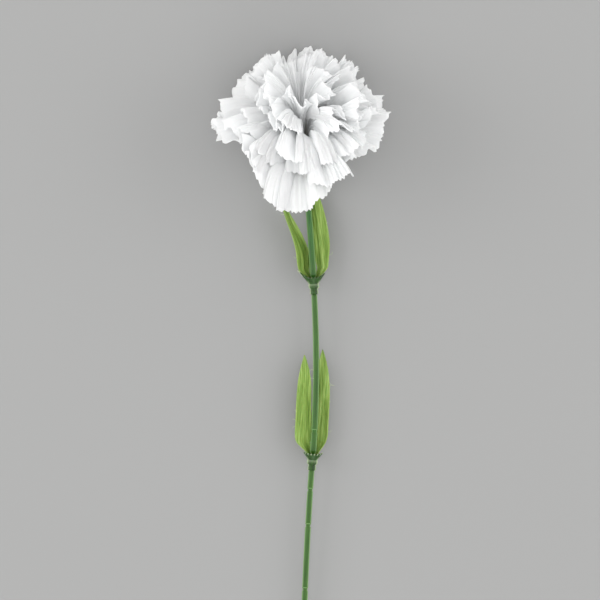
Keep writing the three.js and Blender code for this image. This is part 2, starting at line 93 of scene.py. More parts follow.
# A piece from a closed profile that was turned and laid in its place.
def makeTurnedPiece(name, grid, values=None):
    rows, sides = grid.shape[:2]
    faces = gridFaces(rows, sides, wrapped=True)
    return makePiece(name, grid.reshape(-1, 3), faces, values, merged=True)


# A piece from several blocks of points, each with its values for every point.
def makeClothPiece(name, blocks):
    points, faces, values, first = [], [], {}, 0
    for grid, own in blocks:
        rows, columns = grid.shape[:2]
        points.append(grid.reshape(-1, 3))
        faces.append(gridFaces(rows, columns, first))
        first += rows * columns
        for key, numbers in own.items():
            values.setdefault(key, []).append(numbers.reshape(-1, *numbers.shape[2:]))
    values = {key: np.concatenate(parts) for key, parts in values.items()}
    return makePiece(name, np.concatenate(points), np.concatenate(faces), values)


# A piece of bare points, for a tree that puts an instance on each.
def makePointsPiece(name, points, values):
    return makePiece(name, points, np.zeros((0, 4), int), values)


# Turns a profile of [radius, height] about +Z. It runs up the outside, so the faces point outwards.
def turned(profile, sides):
    radius, height = np.array(profile, float).T
    angle = np.arange(sides) * fullTurn / sides
    x = radius[:, None] * np.cos(angle)
    y = radius[:, None] * np.sin(angle)
    z = np.broadcast_to(height[:, None], x.shape)
    return np.stack([x, y, z], -1)


# Rounds the corners of a profile with short arcs of extra points.
def rounded(profile, reach, steps):
    points = np.array(profile, float)
    out = [points[0]]
    for before, corner, after in zip(points, points[1:], points[2:]):
        toBefore, toAfter = before - corner, after - corner
        room = min(reach, 0.4 * np.linalg.norm(toBefore), 0.4 * np.linalg.norm(toAfter))
        start = corner + toBefore / max(np.linalg.norm(toBefore), 1e-9) * room
        end = corner + toAfter / max(np.linalg.norm(toAfter), 1e-9) * room
        for f in np.linspace(0, 1, steps + 1):
            out.append((1 - f) ** 2 * start + 2 * f * (1 - f) * corner + f * f * end)
    out.append(points[-1])
    return out


def place(piece, material, node):
    piece.data.materials.clear()
    piece.data.materials.append(material)
    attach(piece, "root")
    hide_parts(node)


# helpers for trees of nodes

# Sets a node's inputs to values, or joins them to other nodes' outputs.
def feed(tree, node, inputs):
    for socket, value in inputs.items():
        if isinstance(value, bpy.types.NodeSocket):
            tree.links.new(value, node.inputs[socket])
        else:
            node.inputs[socket].default_value = value


def addNode(tree, kind, inputs=None, **settings):
    node = tree.nodes.new(kind)
    for key, value in settings.items():
        setattr(node, key, value)
    feed(tree, node, inputs or {})
    return node


def calculate(tree, operation, a, b=0.0):
    return addNode(tree, "ShaderNodeMath", {0: a, 1: b}, operation=operation).outputs[0]


def times(tree, a, b):
    return calculate(tree, "MULTIPLY", a, b)


def plus(tree, a, b):
    return calculate(tree, "ADD", a, b)


def joinVector(tree, x, y, z):
    return addNode(tree, "ShaderNodeCombineXYZ", {"X": x, "Y": y, "Z": z}).outputs[0]


def noiseOn(tree, vector, scale, detail, roughness=0.5):
    inputs = {"Vector": vector, "Scale": scale, "Detail": detail, "Roughness": roughness}
    return addNode(tree, "ShaderNodeTexNoise", inputs).outputs["Fac"]


def newTree(name, inputs):
    tree = bpy.data.node_groups.new(name, "GeometryNodeTree")
    for label, kind in {"Geometry": "Geometry", **inputs, "Material": "Material"}.items():
        tree.interface.new_socket(label, in_out="INPUT", socket_type="NodeSocket" + kind)
    tree.interface.new_socket("Geometry", in_out="OUTPUT", socket_type="NodeSocketGeometry")
    return tree, tree.nodes.new("NodeGroupInput").outputs


# Every tree ends by realizing its instances and setting the material.
def closeTree(tree, geometry, material):
    real = addNode(tree, "GeometryNodeRealizeInstances", {"Geometry": geometry})
    painted = addNode(tree, "GeometryNodeSetMaterial",
                      {"Geometry": real.outputs[0], "Material": material})
    addNode(tree, "NodeGroupOutput", {0: painted.outputs[0]})
    return tree


def named(tree, name, kind="FLOAT"):
    return addNode(tree, "GeometryNodeInputNamedAttribute", {"Name": name}, data_type=kind).outputs[0]


# Moves the selected points by a distance along a direction.
def shifted(tree, geometry, direction, distance, where=True):
    offset = addNode(tree, "ShaderNodeVectorMath", {0: direction, "Scale": distance}, operation="SCALE")
    return addNode(tree, "GeometryNodeSetPosition",
                   {"Geometry": geometry, "Selection": where, "Offset": offset.outputs[0]}).outputs[0]


# Sweeps a round section along a curve.
def swept(tree, curve, radius, sides, capped=False):
    section = addNode(tree, "GeometryNodeCurvePrimitiveCircle", {"Resolution": sides, "Radius": radius})
    inputs = {"Curve": curve, "Profile Curve": section.outputs[0], "Fill Caps": capped}
    return addNode(tree, "GeometryNodeCurveToMesh", inputs).outputs[0]


def facing(tree, direction):
    node = addNode(tree, "FunctionNodeAlignRotationToVector",
                   {"Vector": named(tree, direction, "FLOAT_VECTOR")}, axis="Z")
    return node.outputs[0]


def onPoints(tree, points, instance, rotation, scale):
    inputs = {"Points": points, "Instance": instance, "Rotation": rotation, "Scale": scale}
    return addNode(tree, "GeometryNodeInstanceOnPoints", inputs).outputs[0]


# Runs a tree on a piece, with an optional cloth thickness, and keeps the result as a plain mesh.
def applyTree(piece, tree, values, thickness=0.0):
    modifier = piece.modifiers.new(tree.name, "NODES")
    modifier.node_group = tree
    for item in tree.interface.items_tree:
        if item.in_out == "INPUT" and item.name in values:
            modifier[item.identifier] = values[item.name]
    if thickness:
        wall = piece.modifiers.new("Cloth", "SOLIDIFY")
        wall.thickness = thickness * mm
        wall.offset = 0
    evaluated = piece.evaluated_get(bpy.context.evaluated_depsgraph_get())
    result = bpy.data.meshes.new_from_object(evaluated)
    piece.modifiers.clear()
    piece.data = result
    result.name = piece.name
    result.shade_smooth()


# finishes

def newFinish(name):
    finish = bpy.data.materials.new(name)
    finish.use_nodes = True
    return finish, finish.node_tree


def attributeOf(tree, name):
    return addNode(tree, "ShaderNodeAttribute", attribute_name=name).outputs["Fac"]


def objectSpot(tree):
    return addNode(tree, "ShaderNodeTexCoord").outputs["Object"]


def stretched(tree, vector, scale):
    return addNode(tree, "ShaderNodeMapping", {"Vector": vector, "Scale": scale}).outputs[0]


def ramp(tree, factor, stops):
    stops = list(stops)
    node = addNode(tree, "ShaderNodeValToRGB", {"Fac": factor})
    elements = node.color_ramp.elements
    while len(elements) < len(stops):
        elements.new(0.5)
    for element, (position, colour) in zip(elements, stops):
        element.position = position
        element.color = (*colour, 1)
    return node.outputs["Color"]


# From one colour to another over the range in which a noise mostly lies.
def overNoise(tree, noise, low, high):
    return ramp(tree, noise, [(0.3, low), (0.7, high)])


def blendColours(tree, factor, a, b, kind="MIX"):
    a, b = (c if isinstance(c, bpy.types.NodeSocket) else (*c, 1) for c in (a, b))
    node = addNode(tree, "ShaderNodeMix", data_type="RGBA", blend_type=kind)
    feed(tree, node, {0: factor, 6: a, 7: b})
    return node.outputs[2]


# Gives a finish its colour, what its look says and, where the look has one, a bump.
def finished(finish, look, colour, height=None, inputs=None):
    tree = finish.node_tree
    inputs = {"Base Color": colour, **look["shader"], **(inputs or {})}
    if "bump" in look:
        strength, distance = look["bump"]
        inputs["Normal"] = addNode(tree, "ShaderNodeBump", {
            "Height": height, "Strength": strength, "Distance": distance}).outputs[0]
    feed(tree, tree.nodes["Principled BSDF"], inputs)
    return finish


petalFinishLook = {
    "cloth": (0.965, 0.975, 0.98),
    "heart": (0.97, 0.95, 0.85),  # towards the root
    "cutEdge": (0.98, 0.985, 0.99),
    "stops": (0.0, 0.45, 0.955, 0.985),  # from the heart to the cloth, and from it to the edge
    "pressed": (0.955, 0.965, 0.965),  # what the colour is multiplied by in the streaks
    "streakDensity": 1.1,
    "streakStretch": 0.06,
    "weaveLength": 45.0,
    "weavePitch": 0.28,
    "weaveHeight": 0.12,
    "bump": (0.35, 0.00035),  # strength and distance
    "shader": {"Roughness": 0.8, "Subsurface Weight": 1.0, "Subsurface Radius": (1.0, 1.0, 1.0),
               "Subsurface Scale": 0.0009, "Sheen Weight": 0.25},
}


def makePetalCloth():
    look = petalFinishLook
    finish, tree = newFinish("petalCloth")
    along, across = attributeOf(tree, "along"), attributeOf(tree, "acrossMm")
    length = times(tree, along, look["weaveLength"])
    colours = (look[key] for key in ("heart", "cloth", "cloth", "cutEdge"))
    colour = ramp(tree, along, zip(look["stops"], colours))
    # Long faint streaks from the root to the tip, where the cloth was pressed.
    spot = joinVector(tree, across, times(tree, length, look["streakStretch"]),
                      attributeOf(tree, "petalNumber"))
    streaks = noiseOn(tree, spot, look["streakDensity"], 3.0)
    tint = overNoise(tree, streaks, look["pressed"], (1, 1, 1))

    def threadsOver(distance):
        lane = times(tree, distance, 1 / look["weavePitch"])
        return calculate(tree, "PINGPONG", lane, 1.0)

    weave = times(tree, plus(tree, threadsOver(across), threadsOver(length)), look["weaveHeight"])
    colour = blendColours(tree, 1.0, colour, tint, "MULTIPLY")
    return finished(finish, look, colour, plus(tree, weave, streaks))


leafFinishLook = {
    "dark": (0.085, 0.165, 0.014),
    "middle": (0.20, 0.32, 0.055),
    "light": (0.36, 0.51, 0.145),
    "stops": (0.38, 0.5, 0.62),
    "folded": (0.85, 0.87, 0.75),  # painted shade: what the colour is multiplied by on the folded side next to the stem
    "fineShare": 0.65,
    "fineStretch": 0.03,
    "streakPitch": 0.38,
    "broadShare": 0.35,
    "broadStretch": 0.15,
    "broadDensity": 0.45,
    "edgeFrom": 0.8,
    "paleEdge": 0.6,
    "bump": (0.6, 0.0005),
    "shader": {"Roughness": 0.65, "Subsurface Weight": 0.15, "Subsurface Scale": 0.0008,
               "Specular IOR Level": 0.3},
}


def makeLeafCloth():
    look = leafFinishLook
    finish, tree = newFinish("leafCloth")
    across, along = attributeOf(tree, "acrossMm"), attributeOf(tree, "alongMm")
    number = attributeOf(tree, "petalNumber")

    def streaks(stretch, density, detail, roughness):
        spot = joinVector(tree, across, times(tree, along, stretch), number)
        return noiseOn(tree, spot, density, detail, roughness)

    fine = streaks(look["fineStretch"], 1 / look["streakPitch"], 4.0, 0.6)
    broad = streaks(look["broadStretch"], look["broadDensity"], 3.0, 0.5)
    both = plus(tree, times(tree, fine, look["fineShare"]), times(tree, broad, look["broadShare"]))
    colours = (look[key] for key in ("dark", "middle", "light"))
    colour = ramp(tree, both, zip(look["stops"], colours))
    edge = ramp(tree, attributeOf(tree, "edge"), [(look["edgeFrom"], (0, 0, 0)), (1.0, (1, 1, 1))])
    # Painted shade on the side that folds away next to the stem.
    foldShade = ramp(tree, attributeOf(tree, "foldShade"), [(0.0, (1, 1, 1)), (1.0, look["folded"])])
    colour = blendColours(tree, 1.0, colour, foldShade, "MULTIPLY")
    colour = blendColours(tree, times(tree, edge, look["paleEdge"]), colour, look["light"])
    return finished(finish, look, colour, fine)


stemFinishLook = {
    # The third colour of each is the pale one of its painted highlights.
    "stem": dict(low=(0.018, 0.074, 0.006), high=(0.046, 0.135, 0.014), paintedHighlight=(0.28, 0.46, 0.19),
                 roughness=0.3),
    "collar": dict(low=(0.008, 0.036, 0.002), high=(0.026, 0.088, 0.006), paintedHighlight=(0.55, 0.66, 0.42),
                   roughness=0.26),
    "upper": (0.95, 1.2, 2.6),  # what the colour is multiplied by next to the bloom
    "upperSpan": (0.7, 0.95),  # where that starts and is full, as shares of 200 mm up the stem
    "flow": (900, 60, 900),
    "grain": 2500.0,
    "grainShare": 0.4,
    "roughnessRange": 0.12,
    "bump": (0.25, 0.0002),
    "shader": {"Subsurface Weight": 0.1, "Subsurface Scale": 0.001, "Specular IOR Level": 0.35},
}


def makeStemPlastic(name, low, high, paintedHighlight, roughness):
    look = stemFinishLook
    finish, tree = newFinish(name)
    spot = objectSpot(tree)
    flow = noiseOn(tree, stretched(tree, spot, look["flow"]), 1.0, 4.0, 0.6)
    grain = noiseOn(tree, spot, look["grain"], 2.0)
    y = addNode(tree, "ShaderNodeSeparateXYZ", {"Vector": spot}).outputs["Y"]
    upTheStem = ramp(tree, times(tree, y, 5.0), zip(look["upperSpan"], ((1, 1, 1), look["upper"])))
    colour = blendColours(tree, 1.0, overNoise(tree, flow, low, high), upTheStem, "MULTIPLY")
    # Painted highlights: the plastic turns pale where the attribute marks the lit sides, ledges, beads
    # and rim teeth.
    colour = blendColours(tree, attributeOf(tree, "paintedHighlight"), colour, paintedHighlight)
    rough = overNoise(tree, grain, (roughness,) * 3, (roughness + look["roughnessRange"],) * 3)
    height = plus(tree, flow, times(tree, grain, look["grainShare"]))
    return finished(finish, look, colour, height, {"Roughness": rough})


pinFinishLook = {"low": (0.74, 0.74, 0.70), "high": (0.82, 0.82, 0.79), "grain": 600.0, "detail": 3.0,
                 "bump": (0.2, 0.0001), "shader": {"Roughness": 0.45}}
threadFinishLook = {"low": (0.40, 0.50, 0.22), "high": (0.62, 0.70, 0.45), "grain": 400.0, "detail": 2.0,
                    "shader": {"Roughness": 0.7}}


# A finish whose colour only varies a little from place to place.
def makeCloudy(name, look):
    finish, tree = newFinish(name)
    cloudy = noiseOn(tree, objectSpot(tree), look["grain"], look["detail"])
    return finished(finish, look, overNoise(tree, cloudy, look["low"], look["high"]), cloudy)


wireFinishLook = {"low": (0.26, 0.27, 0.28), "high": (0.42, 0.43, 0.44), "drawn": (9000, 300, 9000),
                  "roughness": (0.28, 0.45), "shader": {"Metallic": 1.0}}


def makeWireSteel():
    look = wireFinishLook
    finish, tree = newFinish("wireSteel")
    drawn = noiseOn(tree, stretched(tree, objectSpot(tree), look["drawn"]), 1.0, 2.0)
    smoother, rougher = look["roughness"]
    rough = overNoise(tree, drawn, (smoother,) * 3, (rougher,) * 3)
    colour = overNoise(tree, drawn, look["low"], look["high"])
    return finished(finish, look, colour, inputs={"Roughness": rough})


petalCloth = makePetalCloth()
leafCloth = makeLeafCloth()
threadCloth = makeCloudy("threadCloth", threadFinishLook)
stemPlastic = makeStemPlastic("stemPlastic", **stemFinishLook["stem"])
collarPlastic = makeStemPlastic("collarPlastic", **stemFinishLook["collar"])
pinPlastic = makeCloudy("pinPlastic", pinFinishLook)
wireSteel = makeWireSteel()
print("finishes made")


# bloom

bloomSizes = {
    "hub": (1, 211, 22),
    "lift": 38,  # degrees that the axis rises from the surface
    "lean": 5,  # and leans to the left
    "lobes": [3, 5, 6, 7, 7, 7, 7, 7],  # petals in each disc of cloth, innermost first
    "length": (43, 47),  # innermost and outermost
    "rootRadius": (3, 4.6),
    "rootHeight": (3, -2),
    "startAngle": (-4, 48),  # degrees off the axis at the root
    "innerEndAngle": 4,  # and at the innermost tips
    "outerShare": 0.35,  # how soon the discs take on the outermost one's shape
    "overlap": (0.64, 1.02),  # a petal's least and most width, as a share of its place in the disc
    "rootWidth": 0.5,  # as a share of that
    "fullWidthAt": 0.6,
    "twist": 0.13,  # how far each disc is turned past the one before
    "unevenTurn": 0.5,
    "interleave": 1.4,  # how far a petal's sides lie in the neighbouring discs
    "tipsOpen": 44,  # degrees that neighbouring tips differ by
    "uneven": 9,  # and how much their lengths differ
    "flare": (20, 12),  # degrees that the tips turn out further, innermost and outermost
    "flareMiddle": 48,  # and the discs between them
    "flareFrom": 0.35,
    "flareOver": 0.6,
    "flareSpread": (0.4, 1.2),  # the least share of it, and how much more a petal may have
    "crown": 6,  # how much shorter a petal is at its sides than in its middle
    "corner": 9,  # and by how much its corners are rounded off besides
    "ruffle": (3.2, 4.2),
    # share of that height, growth towards the tip, waves, how many more at most, lean, sway
    "ruffles": [(1, 1.6, 1.3, 1, 0, 0), (0.6, 2, 3.2, 1.4, 0.8, 0), (0.2, 2.5, 8, 3, 0, 1.5)],
    "calmCorners": 0.4,
    "ruffleTurn": 0.25,
    # how far the outermost tips open: azimuth, degrees off the axis, added length
    "outerTips": [(-136, 55, 4), (-102, 150, 3), (-66, 111, 1), (-30, 103, -2), (10, 83, 0),
                  (60, 120, -1), (92, 50, 3), (125, 84, 4), (155, 136, -8), (182, 85, -1)],
    "rows": 28,
    "firstRow": 0.02,
    "rowSpacing": 0.85,
    "arcSteps": 14,  # for the length of a petal's curve
    "teeth": 16,  # along the tip of one petal
    "toothPoints": 8,  # columns of points to a tooth
    "tree": {"Pleat height": 0.36, "Pleat width": 2.3, "Tooth depth": 1.0},
    "cloth": 0.2,
    "restHeight": 2.0,  # cloth under this height eases down on the surface
    "lowest": 0.35,
    "draw": 1577,
    "seed": 4,
}

lift, lean = math.radians(bloomSizes["lift"]), math.radians(bloomSizes["lean"])
hub = np.array(bloomSizes["hub"], float)
axis = np.array([-math.sin(lean) * math.cos(lift), math.cos(lean) * math.cos(lift), math.sin(lift)])
right = np.array([math.cos(lean), math.sin(lean), 0.0])
bloomTurn = np.stack([right, np.cross(axis, right), axis], axis=1)


def inBloomFrame(points):
    return points @ bloomTurn.T + hub


def outerTip(phi):
    table = bloomSizes["outerTips"]
    first = table[0][0]
    ring = np.array(table + [(first + 360, *table[0][1:])], float)
    degrees = first + (np.degrees(phi) - first) % 360
    k = np.clip(np.searchsorted(ring[:, 0], degrees, side="right") - 1, 0, len(ring) - 2)
    f = smooth((degrees - ring[k, 0]) / (ring[k + 1, 0] - ring[k, 0]))
    return mix(ring[k, 1], ring[k + 1, 1], f), mix(ring[k, 2], ring[k + 1, 2], f)


# A fixed number from 0 to 1 for each petal and use.
def ownNumber(layer, lobe, use):
    return math.sin(12.9898 * layer + 78.233 * lobe + 37.719 * use + bloomSizes["draw"]) * 43758.5453 % 1


# What makes each petal differ from the others.
def ownNumbers(layer, lobe):
    drawn = [ownNumber(layer, lobe, use) for use in range(12)]
    return {"flare": drawn[0], "length": drawn[1], "opening": drawn[2], "phases": drawn[3:6],
            "waves": drawn[6:9], "turn": drawn[9], "depth": drawn[10], "width": drawn[11]}


# A point of the cloth. Depth runs from 0 for the innermost disc to 1 for the outermost one,
# s from a petal's root to its tip and t across it, from -1 to 1.
def petalPoint(depth, s, t, phi, trim, own):
    sizes = bloomSizes
    opening, added = outerTip(phi)
    outer = depth * (sizes["outerShare"] + (1 - sizes["outerShare"]) * depth)
    start = mix(*sizes["startAngle"], depth)
    end = mix(sizes["innerEndAngle"], opening, outer) + sizes["tipsOpen"] * (own["opening"] - 0.5) * s
    leastFlare, moreFlare = sizes["flareSpread"]
    flare = mix(*sizes["flare"], depth) + 4 * sizes["flareMiddle"] * depth * (1 - depth)
    flare = flare * (leastFlare + moreFlare * own["flare"])

    def angleAt(f):
        flaring = smooth((f - sizes["flareFrom"]) / sizes["flareOver"]) ** 1.5
        return np.radians(start + (end - start) * f + flare * flaring)

    uneven = sizes["uneven"] * (own["length"] - 0.5)
    length = mix(*sizes["length"], depth) + added * outer - trim + uneven
    steps = sizes["arcSteps"]
    bends = [angleAt(s * (k + 0.5) / steps) for k in range(steps)]
    angle = angleAt(s)
    r = mix(*sizes["rootRadius"], depth) + length * (sum(np.sin(bend) for bend in bends) * s / steps)
    z = mix(*sizes["rootHeight"], depth) + length * (sum(np.cos(bend) for bend in bends) * s / steps)
    height = mix(*sizes["ruffle"], depth)
    push = 0
    for (share, growth, waves, more, slant, sway), phase, draw in zip(
            sizes["ruffles"], own["phases"], own["waves"]):
        wave = math.pi * (waves + more * draw) * t + fullTurn * phase + slant * s + sway * np.sin(4 * t)
        push = push + share * height * s ** growth * np.sin(wave)
    push = push * (1 - sizes["calmCorners"] * t ** 6)
    turn = sizes["ruffleTurn"] * push / np.maximum(r, 5)
    rr = r + push * np.cos(angle)
    points = [rr * np.cos(phi + turn), rr * np.sin(phi + turn), z - push * np.sin(angle)]
    points = inBloomFrame(np.stack(points, -1))
    low, rest = points[..., 2], sizes["restHeight"]
    points[..., 2] = np.where(low < rest, sizes["lowest"] + rest * np.exp((low - rest) / rest), low)
    return points


def petalGrid(layer, lobe):
    sizes = bloomSizes
    count, layers = sizes["lobes"][layer], len(sizes["lobes"])
    columns = sizes["toothPoints"] * sizes["teeth"]
    own = ownNumbers(layer, lobe)
    s = np.linspace(sizes["firstRow"], 1, sizes["rows"])[:, None] ** sizes["rowSpacing"]
    t = np.linspace(-1, 1, columns + 1)[None, :]
    turn = 0.5 * (layer % 2) + sizes["twist"] * layer + sizes["unevenTurn"] * (own["turn"] - 0.5)
    centre = fullTurn * (lobe + turn) / count
    tuck = sizes["interleave"] * (own["depth"] - 0.5)
    depth = (layer + 0.5) / layers + tuck * t / layers + 0 * s
    widening = mix(sizes["rootWidth"], 1, smooth(s / sizes["fullWidthAt"]))
    phi = centre + t * widening * mix(*sizes["overlap"], own["width"]) * math.pi / count
    trim = (sizes["crown"] * t ** 2 + sizes["corner"] * t ** 8) * s
    points = petalPoint(depth, s, t, phi, trim, own)
    arc = np.linalg.norm(np.diff(points[-1], axis=0), axis=1).sum()
    return points, s + 0 * t, t * arc / 2 + 0 * s


def makePetalTree():
    tree, given = newTree("petalFinish", {
        "Pleat height": "Float", "Pleat width": "Float", "Tooth depth": "Float", "Seed": "Int"})
    along, number = named(tree, "along"), named(tree, "petalNumber")
    lane = calculate(tree, "DIVIDE", named(tree, "acrossMm"), given["Pleat width"])
    spot = joinVector(tree, lane, times(tree, along, 1.4),
                      plus(tree, times(tree, number, 3.7), given["Seed"]))
    pleat = plus(tree, noiseOn(tree, spot, 1.0, 2.5, 0.55), -0.5)
    growth = calculate(tree, "POWER", along, 1.3)
    rise = times(tree, times(tree, pleat, growth), times(tree, given["Pleat height"], 4 * mm))
    normal = addNode(tree, "GeometryNodeInputNormal").outputs[0]
    folded = shifted(tree, given["Geometry"], normal, rise)
    notch = times(tree, calculate(tree, "PINGPONG", named(tree, "toothCount"), 0.5), 2.0)
    uneven = plus(tree, 0.5, noiseOn(tree, spot, 3.1, 1.0))
    cut = times(tree, times(tree, notch, uneven), times(tree, given["Tooth depth"], -mm))
    isTip = calculate(tree, "GREATER_THAN", named(tree, "isTip"), 0.5)
    toothed = shifted(tree, folded, named(tree, "tipward", "FLOAT_VECTOR"), cut, isTip)
    return closeTree(tree, toothed, given["Material"])


petalTree = makePetalTree()


def makeDisc(layer):
    sizes = bloomSizes
    blocks = []
    for lobe in range(sizes["lobes"][layer]):
        grid, s, across = petalGrid(layer, lobe)
        blocks.append((grid, {
            "along": s,
            "acrossMm": across,
            "toothCount": np.arange(grid.shape[1]) / sizes["toothPoints"] + 0 * s,
            "isTip": (s > 0.999).astype(float),
            "petalNumber": np.full(s.shape, 10.0 * layer + lobe),
            "tipward": unit(np.gradient(grid, axis=0)),
        }))
    disc = makeClothPiece(f"petalDisc{layer + 1}", blocks)
    seed = sizes["seed"] + layer
    applyTree(disc, petalTree, {**sizes["tree"], "Seed": seed, "Material": petalCloth}, sizes["cloth"])
    place(disc, petalCloth, "bloom")


for layer in range(len(bloomSizes["lobes"])):
    makeDisc(layer)

# The disc centres that the petals grow from, stacked round the pin.
stackSizes = {"radius": 5.3, "low": -4.0, "high": 4.0, "hole": 1.3, "discs": 8, "sides": 40,
              "edge": (0.35, 0.2)}  # how far each centre's edge is rounded, inwards and in height


def makeStack():
    sizes = stackSizes
    radius, hole = sizes["radius"], sizes["hole"]
    inwards, inHeight = sizes["edge"]
    step = (sizes["high"] - sizes["low"]) / sizes["discs"]
    profile = [(hole, sizes["low"])]
    for k in range(sizes["discs"]):
        low = sizes["low"] + k * step
        profile += [(radius - inwards, low), (radius, low + inHeight),
                    (radius, low + step - inHeight), (radius - inwards, low + step)]
    profile += [(hole, sizes["high"]), (hole, sizes["low"])]
    piece = makeTurnedPiece("petalStack", inBloomFrame(turned(profile, sizes["sides"])))
    place(piece, petalCloth, "bloom")


makeStack()
print("bloom made")


# stem

lying = 1.5 * math.cos(math.pi / 10)  # how high the middle of the stem's foot lies
stemSizes = {
    "line": [(-7, -260, lying), (-5.6, -230, lying), (-4.2, -200, lying + 0.12), (-1, -130, 2.1),
             (0.8, -60, 4.2), (1.9, -5, 6.4), (4.5, 46, 8.2), (6.4, 72, 8.9), (7.3, 98, 9.4),
             (7.2, 120, 9.5), (6.1, 147, 8.9), (5, 164, 7.8), (4, 178, 6.8)],
    "lineSteps": 400,
    "taper": (1.5, 1.33),
    "seatRadius": 1.25,
    "seatTop": 4,
    "seatRoom": 0.4,
    "seatEdges": (0.2, 0.25),
    "bore": 0.85,
    "boreStops": 3,  # below the top
    "boreRows": 160,
    "cutEdge": (0.15, 0.2),
    "collarsAtY": (59.8, 145.4),
    "ringsAtY": [74.6, 46, 28.7, -2.5, -70, -135, -200],
    "ringNeck": (-1.5, -1.15, -0.12, 0.05),  # where the neck under a ring narrows and widens
    "ringStep": 0.2,
    "rowEvery": 1.5,
    "rowClear": 0.8,
    "seamHeight": 0.09,  # the mould's parting line, on both sides
    # how pale a highlight is painted along both sides
    "sideHighlight": 0.8,
    "sides": 32,
    "calyxFoot": -21.3,
    "socket": 8,
}
sleeveBottom = -4.8  # where a collar's sleeve ends, from the top of its ledge
levels = ((0, "lower"), (1, "upper"))  # of the collars and leaf pairs


# The curve through the line's points, eased as a centripetal spline and sampled finely.
def stemCurve():
    foot, socket = stemSizes["calyxFoot"], stemSizes["socket"]
    inCalyx = [tuple(axis * (foot + rise) + hub) for rise in (-4, 0, socket / 2, socket - 0.3)]
    through = np.array(stemSizes["line"] + inCalyx, float)
    ends = np.concatenate([[2 * through[0] - through[1]], through, [2 * through[-1] - through[-2]]])
    samples = []
    for i in range(len(through) - 1):
        p0, p1, p2, p3 = ends[i:i + 4]
        d0, d1, d2 = (np.linalg.norm(b - a) ** 0.5 for a, b in ((p0, p1), (p1, p2), (p2, p3)))
        m1 = ((p1 - p0) / d0 - (p2 - p0) / (d0 + d1) + (p2 - p1) / d1) * d1
        m2 = ((p2 - p1) / d1 - (p3 - p1) / (d1 + d2) + (p3 - p2) / d2) * d1
        f = np.linspace(0, 1, stemSizes["lineSteps"], endpoint=False)[:, None]
        samples.append((2 * f ** 3 - 3 * f ** 2 + 1) * p1 + (f ** 3 - 2 * f ** 2 + f) * m1
                       + (3 * f ** 2 - 2 * f ** 3) * p2 + (f ** 3 - f ** 2) * m2)
    curve = np.concatenate(samples + [through[-1:]])
    steps = np.linalg.norm(np.diff(curve, axis=0), axis=1)
    return curve, np.concatenate([[0], np.cumsum(steps)])


curvePoints, curveLengths = stemCurve()
curveTangents = unit(np.gradient(curvePoints, curveLengths, axis=0))
stemLength = curveLengths[-1]


def onCurve(table, at):
    return np.stack([np.interp(at, curveLengths, table[:, k]) for k in range(3)], -1)


# Lays points built about +Z along the stem: x to the right, y towards the surface, z along it.
def alongStem(points, start=0.0):
    at = np.clip(start + points[..., 2], 0, stemLength)
    tangent = unit(onCurve(curveTangents, at))
    across = unit(np.cross(tangent, (0, 0, 1)))
    down = np.cross(tangent, across)
    return onCurve(curvePoints, at) + across * points[..., :1] + down * points[..., 1:2]


# How far along the stem its collars and joint rings are.
collarsAt, ringsAt = (np.interp(stemSizes[key], curvePoints[:, 1], curveLengths)
                      for key in ("collarsAtY", "ringsAtY"))


def stemRadius(at):
    ends = np.array([0, *collarsAt, stemLength - stemSizes["socket"]])
    k = np.clip(np.searchsorted(ends, at, side="right") - 1, 0, len(ends) - 2)
    return mix(*stemSizes["taper"], np.minimum(1, (at - ends[k]) / (ends[k + 1] - ends[k])))


# From 0 to 1 towards the sides, where the mould's halves met. It masks the highlight painted paler on
# both sides.
def sideHighlightMask(x, y):
    return smooth((np.abs(x) / np.maximum(np.hypot(x, y), 0.01) - 0.6) / 0.4)


# The outside of the stem as pairs of radius and height, from its foot to its top.
def stemOutside():
    sizes = stemSizes
    pairs = []
    for at in ringsAt:
        r = stemRadius(at)
        pairs += [(width, at + rise) for width, rise in
                  zip((r, r - sizes["ringStep"], r - sizes["ringStep"], r), sizes["ringNeck"])]
    for at in collarsAt:
        foot, top = at + sleeveBottom - sizes["seatRoom"], at + sizes["seatTop"]
        footEdge, topEdge = sizes["seatEdges"]
        pairs += [(stemRadius(foot), foot - footEdge), (sizes["seatRadius"], foot),
                  (sizes["seatRadius"], top), (stemRadius(top), top + topEdge)]
    taken = np.array([at for _, at in pairs])
    for at in np.arange(sizes["rowEvery"], stemLength - 1, sizes["rowEvery"]):
        isClear = np.abs(taken - at).min() > sizes["rowClear"]
        isSeat = any(c + sleeveBottom <= at <= c + sizes["seatTop"] for c in collarsAt)
        if isClear and not isSeat:
            pairs.append((stemRadius(at), at))
    return sorted(pairs, key=lambda pair: pair[1])


def makeStem():
    sizes = stemSizes
    boreEnd = stemLength - sizes["boreStops"]
    bore = [(sizes["bore"], at) for at in np.linspace(boreEnd, 0, sizes["boreRows"])]
    foot, (inwards, inHeight) = stemRadius(0), sizes["cutEdge"]
    profile = [(0, boreEnd), *bore, (foot - inwards, 0), (foot, inHeight), *stemOutside(),
               (stemRadius(stemLength), stemLength), (0, stemLength)]
    tube = turned(profile, sizes["sides"])
    x, y = tube[..., 0], tube[..., 1]
    isSeam = (np.abs(y) < 1e-6) & (np.abs(x) > sizes["seatRadius"] + 0.02)
    x += isSeam * np.sign(x) * sizes["seamHeight"]  # this moves the tube's own points
    # A highlight painted paler along both sides of the stem, over the seam.
    paintedHighlight = sizes["sideHighlight"] * sideHighlightMask(x, y)
    place(makeTurnedPiece("stemTube", alongStem(tube), {"paintedHighlight": paintedHighlight.ravel()}),
          stemPlastic, "stem")


makeStem()

# Moulded beads round the stem, one at each step.
beadSizes = {
    "above": 0.35,  # the step
    "tall": 1.6,  # how much taller than round
    "tree": {"Bead radius": 0.93 * mm, "Bead section": 0.15 * mm},
    "sides": (36, 10),
    # how pale a highlight is painted on every bead
    "beadHighlight": 0.5,
}


